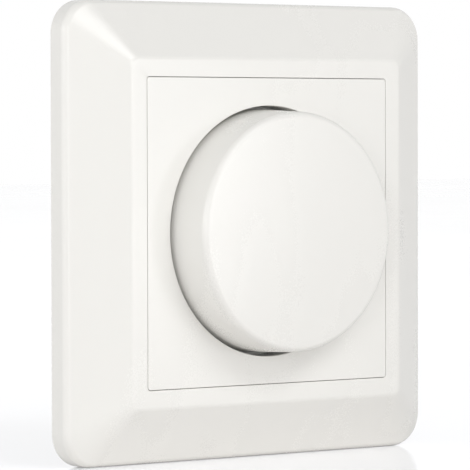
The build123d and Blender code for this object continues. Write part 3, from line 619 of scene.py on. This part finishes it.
def combine(piece, tools, operation):
    """Joins separate tools to a piece, cuts them out of it or keeps what is in them."""
    pick(*tools)
    bpy.ops.object.join()
    tool = bpy.context.object
    pick(piece)
    modifier = piece.modifiers.new("combine", "BOOLEAN")
    modifier.operation = operation
    modifier.solver = "EXACT"
    modifier.object = tool
    bpy.ops.object.modifier_apply(modifier=modifier.name)
    bpy.data.objects.remove(tool)


def dress(piece, node, body, material):
    """Cleans and smooths a piece, gives it its finish and lets it stand for its CAD node."""
    pick(piece)
    bpy.ops.object.mode_set(mode="EDIT")
    bpy.ops.mesh.select_all(action="SELECT")
    bpy.ops.mesh.remove_doubles(threshold=TINY)
    bpy.ops.mesh.dissolve_degenerate(threshold=TINY)
    bpy.ops.object.mode_set(mode="OBJECT")
    bpy.ops.object.shade_smooth_by_angle(angle=SHARP_ANGLE)
    bpy.ops.object.modifier_add(type="WEIGHTED_NORMAL")
    piece.modifiers[-1].keep_sharp = True
    bpy.ops.object.modifier_apply(modifier=piece.modifiers[-1].name)
    piece.data.materials.append(material)
    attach(piece, body)
    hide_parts(node)


def coat(material, *nodes):
    """Gives CAD nodes a finish."""
    for node in nodes:
        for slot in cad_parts[node].material_slots:
            slot.material = material


def cover_material(scene):
    """The one finish of all that faces the room."""
    name = "cover plastic"
    made = bpy.data.materials.get(name)
    tint = scene.dimmer_colours.cover
    return made or moulding(name, tint, gloss=0.27, grain=0.00025, depth=0.0000009)


def spring_material(scene):
    """The finish of the springs."""
    name = "spring steel"
    made = bpy.data.materials.get(name)
    return made or drawn_metal(name, scene.dimmer_colours.spring, rough=0.3, stretch=(1, 1, 0.2))


class DIMMER_OT_cover_frame(bpy.types.Operator):
    """Models the hollow frame with its slope, rim, collar, ledge and ribs"""

    bl_idname = "dimmer.cover_frame"
    bl_label = "Cover frame"

    def execute(self, context):
        size = context.scene.dimmer_frame
        plate = context.scene.dimmer_plate
        opening = plate.width + 2 * size.seam
        rim = opening + 2 * size.rim_width
        opening_corner = plate.corner + size.seam
        collar = opening + 2 * size.collar_wall
        collar_corner = opening_corner + size.collar_wall
        well = context.scene.dimmer_knob.width + 2 * plate.well_gap + 2 * plate.well_wall
        ledge_opening = well + 2 * size.ledge_gap
        ledge_high = size.depth - plate.skirt_height
        ledge_low = ledge_high - size.ledge
        roof = size.depth - size.wall
        slope = math.atan2(size.depth - size.side, (size.width - rim) / 2)
        foot_turn = QUARTER - slope
        inner = size.width - 2 * size.wall
        inner_corner = size.corner - size.wall
        inner_foot = size.side - size.wall * math.tan(foot_turn / 2)
        roof_width = rim - 2 * size.wall * math.tan(slope / 2)
        foot_loop = Loop(size.width, size.corner, size.side)
        rim_loop = Loop(rim, size.rim_corner, size.depth)
        opening_loop = Loop(opening, opening_corner, size.depth)
        begin("cover_moulding")
        skin(
            [
                Loop(size.width, size.corner, 0),
                foot_loop,
                rim_loop,
                opening_loop,
                Loop(opening, opening_corner, ledge_high),
                Loop(ledge_opening, opening_corner, ledge_high),
                Loop(ledge_opening, opening_corner, ledge_low),
                Loop(collar, collar_corner, ledge_low),
                Loop(collar, collar_corner, roof),
                Loop(roof_width, size.rim_corner, roof),
                Loop(inner, inner_corner, inner_foot),
                Loop(inner, inner_corner, 0),
            ],
            CORNER_STEPS,
            closed=True,
        )
        round_edge(foot_loop, size.foot_round, foot_turn)
        round_edge(rim_loop, size.rim_round, slope)
        round_edge(opening_loop, size.opening_round, QUARTER)
        bpy.ops.object.mode_set(mode="OBJECT")
        piece = context.object
        rib_low = node_front("mounting_plate") + size.rib_gap
        near = collar / 2 - BITE * size.collar_wall
        far = size.width / 2
        bite = BITE * size.wall
        ribs = []
        for quarter in range(4):
            for side in (-1, 1):
                offset = side * size.rib_offset
                turn = quarter * QUARTER
                ribs.append(block(far - near, size.rib, rib_low, roof, (near + far) / 2, offset, turn))
        begin("rib_room")
        skin(
            [
                Loop(inner + bite, inner_corner, 0),
                Loop(inner + bite, inner_corner, inner_foot),
                Loop(roof_width + bite, size.rim_corner, roof),
            ],
            CORNER_STEPS,
            closed=False,
        )
        bpy.ops.object.mode_set(mode="OBJECT")
        room = context.object
        combine(room, ribs, "INTERSECT")
        combine(piece, [room], "UNION")
        dress(piece, "cover_frame", "base", cover_material(context.scene))
        return {"FINISHED"}


class DIMMER_OT_centre_plate(bpy.types.Operator):
    """Models the square plate with its skirt, its round well and its pegs"""

    bl_idname = "dimmer.centre_plate"
    bl_label = "Centre plate"

    def execute(self, context):
        size = context.scene.dimmer_plate
        face = node_front("centre_plate")
        skirt = face - size.skirt_height
        back = face - size.thickness
        well = context.scene.dimmer_knob.width + 2 * size.well_gap
        well_outer = well + 2 * size.well_wall
        floor_high = node_back("lock_washer")
        floor_low = floor_high - size.well_floor
        foot = node_front("mounting_plate")
        margin = EDGE_BAND * size.edge_round
        inner = size.width - 2 * size.skirt_wall
        edge_loop = Loop(size.width, size.corner, face)
        lip_loop = circle(well, face)
        begin("plate_moulding")
        skin(
            [
                Loop(size.width, size.corner, skirt),
                edge_loop,
                Loop(size.width - 2 * margin, size.corner, face),
                circle(well + 2 * margin, face),
                lip_loop,
                circle(well, floor_high),
                circle(size.hole, floor_high),
                circle(size.hole, foot),
                circle(size.boss, foot),
                circle(size.boss, floor_low),
                circle(well_outer, floor_low),
                circle(well_outer, back),
                Loop(inner, size.corner, back),
                Loop(inner, size.corner, skirt),
            ],
            ROUND_STEPS,
            closed=True,
        )
        round_edge(edge_loop, size.edge_round, QUARTER)
        round_edge(lip_loop, size.well_round, QUARTER)
        bpy.ops.object.mode_set(mode="OBJECT")
        piece = context.object
        near = well_outer / 2 - BITE * size.well_wall
        far = (size.width - size.skirt_wall) / math.sqrt(2)
        ribs = []
        for quarter in range(4):
            turn = (quarter + 0.5) * QUARTER
            ribs.append(block(far - near, size.rib, skirt, back, (near + far) / 2, 0, turn))
        combine(piece, ribs, "UNION")
        peg_low = node_back("centre_plate")
        peg_high = foot + BITE * size.peg
        pegs = [rod(size.peg, peg_low, peg_high, side * size.peg_spacing / 2) for side in (-1, 1)]
        combine(piece, pegs, "UNION")
        dress(piece, "centre_plate", "base", cover_material(context.scene))
        return {"FINISHED"}


class DIMMER_OT_knob(bpy.types.Operator):
    """Models the hollow knob with its domed front, its split hub and its ribs"""

    bl_idname = "dimmer.knob"
    bl_label = "Knob"

    def execute(self, context):
        size = context.scene.dimmer_knob
        apex = node_front("knob")
        low = node_back("knob")
        edge = apex - size.crown
        slant = math.tan(size.draft)
        foot = size.width + 2 * slant * (node_front("centre_plate") - low)
        front = foot - 2 * slant * (edge - low)
        radius = front / 2
        dome = (radius**2 + size.crown**2) / (2 * size.crown)
        ceiling = edge - size.top
        inner = foot - 2 * size.wall
        inner_end = inner - 2 * slant * (ceiling - low)
        ring_low = node_back("knob_clamp_ring") - size.fit
        ring_high = node_front("knob_clamp_ring") + size.fit
        bore = size.bore + 2 * size.fit
        bore_end = node_front("control_shaft") + size.fit
        waist = size.hub - 2 * size.groove
        edge_loop = circle(front, edge)
        rings = []
        for share in DOME_RINGS:
            reach = share * radius
            rings.append(circle(2 * reach, apex - dome + math.sqrt(dome**2 - reach**2)))
        begin("knob_moulding")
        skin(
            rings
            + [
                edge_loop,
                circle(foot, low),
                circle(inner, low),
                circle(inner_end, ceiling),
                circle(size.hub, ceiling),
                circle(size.hub, ring_high),
                circle(waist, ring_high),
                circle(waist, ring_low),
                circle(size.hub, ring_low),
                circle(size.hub, size.hub_low),
                circle(bore, size.hub_low),
                circle(bore, bore_end),
            ],
            ROUND_STEPS,
            closed=False,
        )
        round_edge(edge_loop, size.edge_round, QUARTER - size.draft - math.asin(radius / dome))
        bpy.ops.object.mode_set(mode="OBJECT")
        piece = context.object
        rib_low = ring_high + size.groove / 2
        rib_high = ceiling + size.top / 8
        near = size.hub / 2 - size.groove / 2
        far = inner_end / 2 + size.wall / 2
        ribs = []
        for count in range(KNOB_RIBS):
            turn = count * 2 * math.pi / KNOB_RIBS
            ribs.append(block(far - near, size.rib, rib_low, rib_high, (near + far) / 2, 0, turn))
        combine(piece, ribs, "UNION")
        flat_low = size.shaft_flat
        flat_high = bore / 2 + size.groove
        flat_middle = (flat_low + flat_high) / 2
        flat = block(bore, flat_high - flat_low, size.hub_low, bore_end + size.fit, z=flat_middle)
        combine(piece, [flat], "UNION")
        slit = block(size.slit, 2 * size.hub, size.hub_low - size.slit, size.hub_low + size.slit_length)
        combine(piece, [slit], "DIFFERENCE")
        dress(piece, "knob", "spindle", cover_material(context.scene))
        return {"FINISHED"}


class DIMMER_OT_return_spring(bpy.types.Operator):
    """Winds the return spring, which shortens when the knob is pushed"""

    bl_idname = "dimmer.return_spring"
    bl_label = "Return spring"

    def execute(self, context):
        size = context.scene.dimmer_spring
        low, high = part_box("return_spring")
        room = high.y - low.y
        reach = node_width("return_spring") / 2 - size.wire / 2
        begin("spring_wire")
        bpy.ops.mesh.primitive_circle_add(
            vertices=WIRE_STEPS, radius=size.wire / 2, location=(reach, high.y - size.wire / 2, 0)
        )
        bpy.ops.object.mode_set(mode="OBJECT")
        piece = context.object
        bpy.ops.object.modifier_add(type="SCREW")
        winding = piece.modifiers[-1]
        winding.axis = "Y"
        winding.angle = -2 * math.pi * size.turns
        winding.screw_offset = size.wire - room
        winding.steps = winding.render_steps = round(TURN_STEPS * size.turns)
        bpy.ops.object.modifier_apply(modifier=winding.name)
        bpy.ops.object.mode_set(mode="EDIT")
        bpy.ops.mesh.select_all(action="DESELECT")
        bpy.ops.mesh.select_mode(type="EDGE")
        bpy.ops.mesh.select_non_manifold()
        bpy.ops.mesh.edge_face_add()
        bpy.ops.mesh.select_all(action="SELECT")
        bpy.ops.mesh.normals_make_consistent(inside=False)
        bpy.ops.object.mode_set(mode="OBJECT")
        dress(piece, "return_spring", "base", spring_material(context.scene))
        keep = 1 - size.travel / room
        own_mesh(piece)
        return {"FINISHED"}


class DIMMER_OT_mouldings(bpy.types.Operator):
    """Gives the inner mouldings their finish"""

    bl_idname = "dimmer.mouldings"
    bl_label = "Inner mouldings"

    def execute(self, context):
        colours = context.scene.dimmer_colours
        grey = moulding("grey moulding", colours.grey, gloss=0.5, grain=0.0003, depth=0.00001)
        black = moulding("black moulding", colours.black, gloss=0.45, grain=0.0003, depth=0.000008)
        coat(grey, "rear_housing", "terminal_block", "switch_plunger")
        coat(black, "potentiometer_case", "wiper_rotor", "triac")
        return {"FINISHED"}


class DIMMER_OT_metalwork(bpy.types.Operator):
    """Gives the plates, screws, springs and contacts their finish"""

    bl_idname = "dimmer.metalwork"
    bl_label = "Metalwork"

    def execute(self, context):
        colours = context.scene.dimmer_colours
        zinc = plated_steel("zinc plating", colours.zinc)
        shaft = drawn_metal("turned alloy", colours.shaft, rough=0.3, stretch=(0.1, 1, 0.1), size=0.0002)
        brass = drawn_metal("brass", colours.brass, rough=0.3, stretch=(1, 1, 0.2))
        coat(zinc, "mounting_plate", "housing_screws", "triac_screw", "lock_washer", "terminal_screws")
        coat(spring_material(context.scene), "knob_clamp_ring")
        coat(shaft, "control_shaft")
        coat(brass, "bushing_nut", "threaded_bushing", "wiper_spring", "contact_bridge", "contact_pins")
        coat(brass, "terminal_cages")
        return {"FINISHED"}


class DIMMER_OT_electronics(bpy.types.Operator):
    """Gives the circuit board and the components their finish"""

    bl_idname = "dimmer.electronics"
    bl_label = "Electronics"

    def execute(self, context):
        colours = context.scene.dimmer_colours
        coat(laminate("laminate", colours.laminate), "circuit_board", "resistor_wafer")
        coat(silicone("silicone", colours.pad), "insulating_pad")
        coat(sintered("ferrite", colours.ferrite), "choke_core")
        coat(enamelled_wire("enamelled wire", colours.copper), "choke_winding")
        coat(dipped_resin("resin", colours.resin), "film_capacitor", "timing_capacitor")
        coat(fuse_glass("fuse glass", colours.glass, colours.zinc), "fuse")
        coat(banded_lacquer("lacquer", colours.lacquer, colours.zinc), "resistors")
        return {"FINISHED"}


def panel_light(name, watts, heading, rise, width, height):
    """Soft rectangular light that faces the dimmer, by its heading right of the front and its rise."""
    turn = Matrix.Rotation(math.radians(heading), 3, "Z")
    lift = Matrix.Rotation(math.radians(-rise), 3, "X")
    place = turn @ lift @ Vector((0, -LIGHT_RANGE, 0))
    bpy.ops.object.light_add(type="AREA", location=place)
    lamp = bpy.context.object
    lamp.name = name
    lamp.rotation_euler = (-place).to_track_quat("-Z", "Y").to_euler()
    lamp.data.shape = "RECTANGLE"
    lamp.data.size = width
    lamp.data.size_y = height
    lamp.data.energy = watts
    return lamp


class DIMMER_OT_stage(bpy.types.Operator):
    """Sets up the floor, the light and the camera"""

    bl_idname = "dimmer.stage"
    bl_label = "Stage"

    def execute(self, context):
        settings = context.scene.dimmer_stage
        bpy.ops.object.select_all(action="DESELECT")
        floor_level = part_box("cover_frame")[0].z
        bpy.ops.mesh.primitive_plane_add(size=FLOOR_WIDTH, location=(0, 0, floor_level))
        floor = context.object
        floor.name = "floor"
        bpy.ops.object.transform_apply(location=True)
        finish = Finish("floor", {"IOR": 1.45, "Emission Strength": settings.floor_lift})
        cloud = finish.noise(size=0.2)
        seen = finish.seen()
        pale = finish.tones(cloud, settings.floor, low=0.99, high=1.01)
        finish.feed("Base Color", finish.blend(seen, shade(settings.bounce), pale))
        finish.feed("Roughness", cloud.spread(low=0.1, high=0.14))
        finish.feed("Emission Color", finish.blend(seen, BLACK, WHITE))
        floor.data.materials.append(finish.material)
        # The key shows only as gloss, and throws no shadow beside the knob
        key = panel_light("key light", settings.key, heading=28, rise=2, width=0.3, height=0.32)
        key.visible_diffuse = False
        panel_light("front light", settings.front, heading=8, rise=10, width=0.45, height=0.45)
        panel_light("upper light", settings.upper, heading=6, rise=38, width=1.0, height=0.45)
        panel_light("half left light", settings.half_left, heading=-45, rise=8, width=0.5, height=0.6)
        panel_light("left light", settings.left, heading=-90, rise=10, width=0.6, height=0.6)
        panel_light("rear light", settings.rear, heading=-120, rise=10, width=0.9, height=0.9)
        context.scene.world = bpy.data.worlds.new("studio")
        sky = Nodes(context.scene.world, "Background")
        sky.shader.inputs["Color"].default_value = WHITE
        sky.feed("Strength", sky.seen().spread(low=settings.ambient, high=1))
        bpy.ops.object.camera_add(location=settings.camera_place)
        camera = context.object
        camera.data.lens = settings.lens
        camera.data.clip_start = NEAREST_SEEN
        turn = Matrix.Rotation(-settings.camera_heading, 4, "Z")
        tilt = Matrix.Rotation(QUARTER + settings.camera_pitch, 4, "X")
        roll = Matrix.Rotation(settings.camera_roll, 4, "Z")
        camera.matrix_world = Matrix.Translation(settings.camera_place) @ turn @ tilt @ roll
        context.scene.camera = camera
        context.scene.view_settings.view_transform = "Standard"
        return {"FINISHED"}


GROUPS = {
    "dimmer_frame": FrameSizes,
    "dimmer_plate": PlateSizes,
    "dimmer_knob": KnobSizes,
    "dimmer_spring": SpringSizes,
    "dimmer_colours": FinishColours,
    "dimmer_stage": StageSettings,
}

OPERATORS = (
    DIMMER_OT_cover_frame,
    DIMMER_OT_centre_plate,
    DIMMER_OT_knob,
    DIMMER_OT_return_spring,
    DIMMER_OT_mouldings,
    DIMMER_OT_metalwork,
    DIMMER_OT_electronics,
    DIMMER_OT_stage,
)


class DIMMER_PT_panel(bpy.types.Panel):
    """Lists the steps and the sizes of the dimmer"""

    bl_idname = "DIMMER_PT_panel"
    bl_label = "Rotary push dimmer"
    bl_space_type = "VIEW_3D"
    bl_region_type = "UI"
    bl_category = "Dimmer"

    def draw(self, context):
        for operator in OPERATORS:
            self.layout.operator(operator.bl_idname)
        for name, group in GROUPS.items():
            column = self.layout.column(heading=group.__doc__)
            for prop in group.__annotations__:
                column.prop(getattr(context.scene, name), prop)


def register():
    """Makes the sizes, the steps and the panel known to Blender."""
    for name, group in GROUPS.items():
        bpy.utils.register_class(group)
        setattr(bpy.types.Scene, name, PointerProperty(type=group))
    for operator in OPERATORS:
        bpy.utils.register_class(operator)
    bpy.utils.register_class(DIMMER_PT_panel)


def unregister():
    """Takes back what register has added."""
    bpy.utils.unregister_class(DIMMER_PT_panel)
    for operator in reversed(OPERATORS):
        bpy.utils.unregister_class(operator)
    for name, group in reversed(GROUPS.items()):
        delattr(bpy.types.Scene, name)
        bpy.utils.unregister_class(group)


def main():
    """Builds the dressed dimmer and notes its size beside the CAD model's."""
    register()
    bpy.ops.dimmer.cover_frame()
    bpy.ops.dimmer.centre_plate()
    bpy.ops.dimmer.knob()
    bpy.ops.dimmer.return_spring()
    bpy.ops.dimmer.mouldings()
    bpy.ops.dimmer.metalwork()
    bpy.ops.dimmer.electronics()
    bpy.ops.dimmer.stage()


if __name__ == "__main__":
    main()
